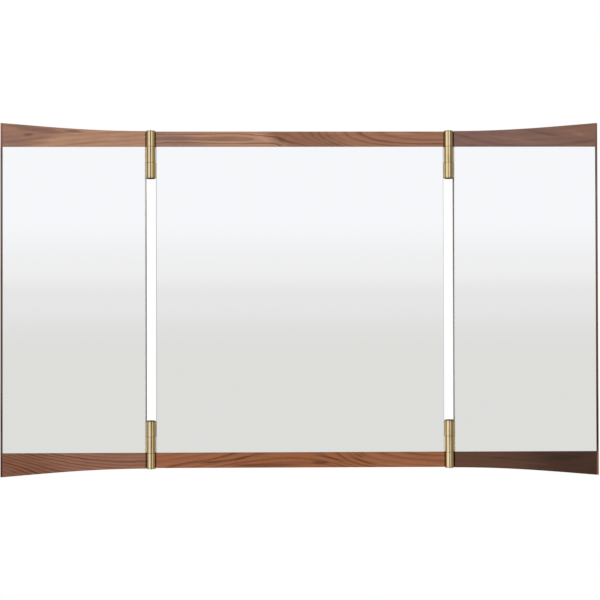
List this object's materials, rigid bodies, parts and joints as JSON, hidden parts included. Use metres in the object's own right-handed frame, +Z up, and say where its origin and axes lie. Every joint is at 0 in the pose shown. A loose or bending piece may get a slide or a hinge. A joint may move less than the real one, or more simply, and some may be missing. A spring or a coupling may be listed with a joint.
{
  "type": "wall mirror",
  "caption": "Wall mirror with a fixed centre panel and two side wings that swing forward on brass barrel hinges, walnut rails above and below bare-edged glass.",
  "frame": {"origin": "centre of the wall rail's back face, on the wall, 215 mm above the mirror's mid-height", "axes": "+X to the right of someone who faces the mirror, +Y into the wall, +Z up"},
  "size_m": [1.192, 0.0381, 0.704],
  "materials": {
    "walnut": "oiled, satin",
    "panel_board": "walnut veneer, satin, dark stained edges",
    "mirror_glass": "silvered float glass, ground edges",
    "mounting_tape": "foam",
    "hinge_brass": "lacquered, finely turned",
    "hinge_pin_steel": "drawn",
    "washer_bronze": "plain bearing bronze",
    "steel_screws": "zinc plated",
    "rail_aluminium": "extruded, satin",
    "bumper_rubber": "matt black"
  },
  "bodies": {
    "centre_panel": {"wall_rail": "rail_aluminium", "hanging_rail": "rail_aluminium", "hanging_rail_screws": "steel_screws", "centre_board": "panel_board", "centre_glass": "mirror_glass", "centre_glass_tape": "mounting_tape", "centre_top_rail": "walnut", "centre_bottom_rail": "walnut", "centre_bumpers": "bumper_rubber", "centre_bumper_screws": "steel_screws", "upper_left_fixed_leaf": "hinge_brass", "upper_left_pin": "hinge_pin_steel", "upper_left_end_caps": "hinge_brass", "upper_left_washers": "washer_bronze", "upper_left_fixed_screws": "hinge_brass", "lower_left_fixed_leaf": "hinge_brass", "lower_left_pin": "hinge_pin_steel", "lower_left_end_caps": "hinge_brass", "lower_left_washers": "washer_bronze", "lower_left_fixed_screws": "hinge_brass", "upper_right_fixed_leaf": "hinge_brass", "upper_right_pin": "hinge_pin_steel", "upper_right_end_caps": "hinge_brass", "upper_right_washers": "washer_bronze", "upper_right_fixed_screws": "hinge_brass", "lower_right_fixed_leaf": "hinge_brass", "lower_right_pin": "hinge_pin_steel", "lower_right_end_caps": "hinge_brass", "lower_right_washers": "washer_bronze", "lower_right_fixed_screws": "hinge_brass"},
    "left_wing": {"left_wing_board": "panel_board", "left_wing_glass": "mirror_glass", "left_wing_glass_tape": "mounting_tape", "left_wing_top_rail": "walnut", "left_wing_bottom_rail": "walnut", "left_wing_stile": "walnut", "left_wing_bumpers": "bumper_rubber", "left_wing_bumper_screws": "steel_screws", "upper_left_wing_leaf": "hinge_brass", "upper_left_wing_screws": "hinge_brass", "lower_left_wing_leaf": "hinge_brass", "lower_left_wing_screws": "hinge_brass"},
    "right_wing": {"right_wing_board": "panel_board", "right_wing_glass": "mirror_glass", "right_wing_glass_tape": "mounting_tape", "right_wing_top_rail": "walnut", "right_wing_bottom_rail": "walnut", "right_wing_stile": "walnut", "right_wing_bumpers": "bumper_rubber", "right_wing_bumper_screws": "steel_screws", "upper_right_wing_leaf": "hinge_brass", "upper_right_wing_screws": "hinge_brass", "lower_right_wing_leaf": "hinge_brass", "lower_right_wing_screws": "hinge_brass"}
  },
  "joints": [
    {"name": "left_wing_hinge", "type": "hinge", "parent": "centre_panel", "child": "left_wing", "pos_m": [-0.2975, -0.0286, -0.215], "axis": [0, 0, 1], "range_deg": [0, 145]},
    {"name": "right_wing_hinge", "type": "hinge", "parent": "centre_panel", "child": "right_wing", "pos_m": [0.2975, -0.0286, -0.215], "axis": [0, 0, -1], "range_deg": [0, 145]}
  ]
}
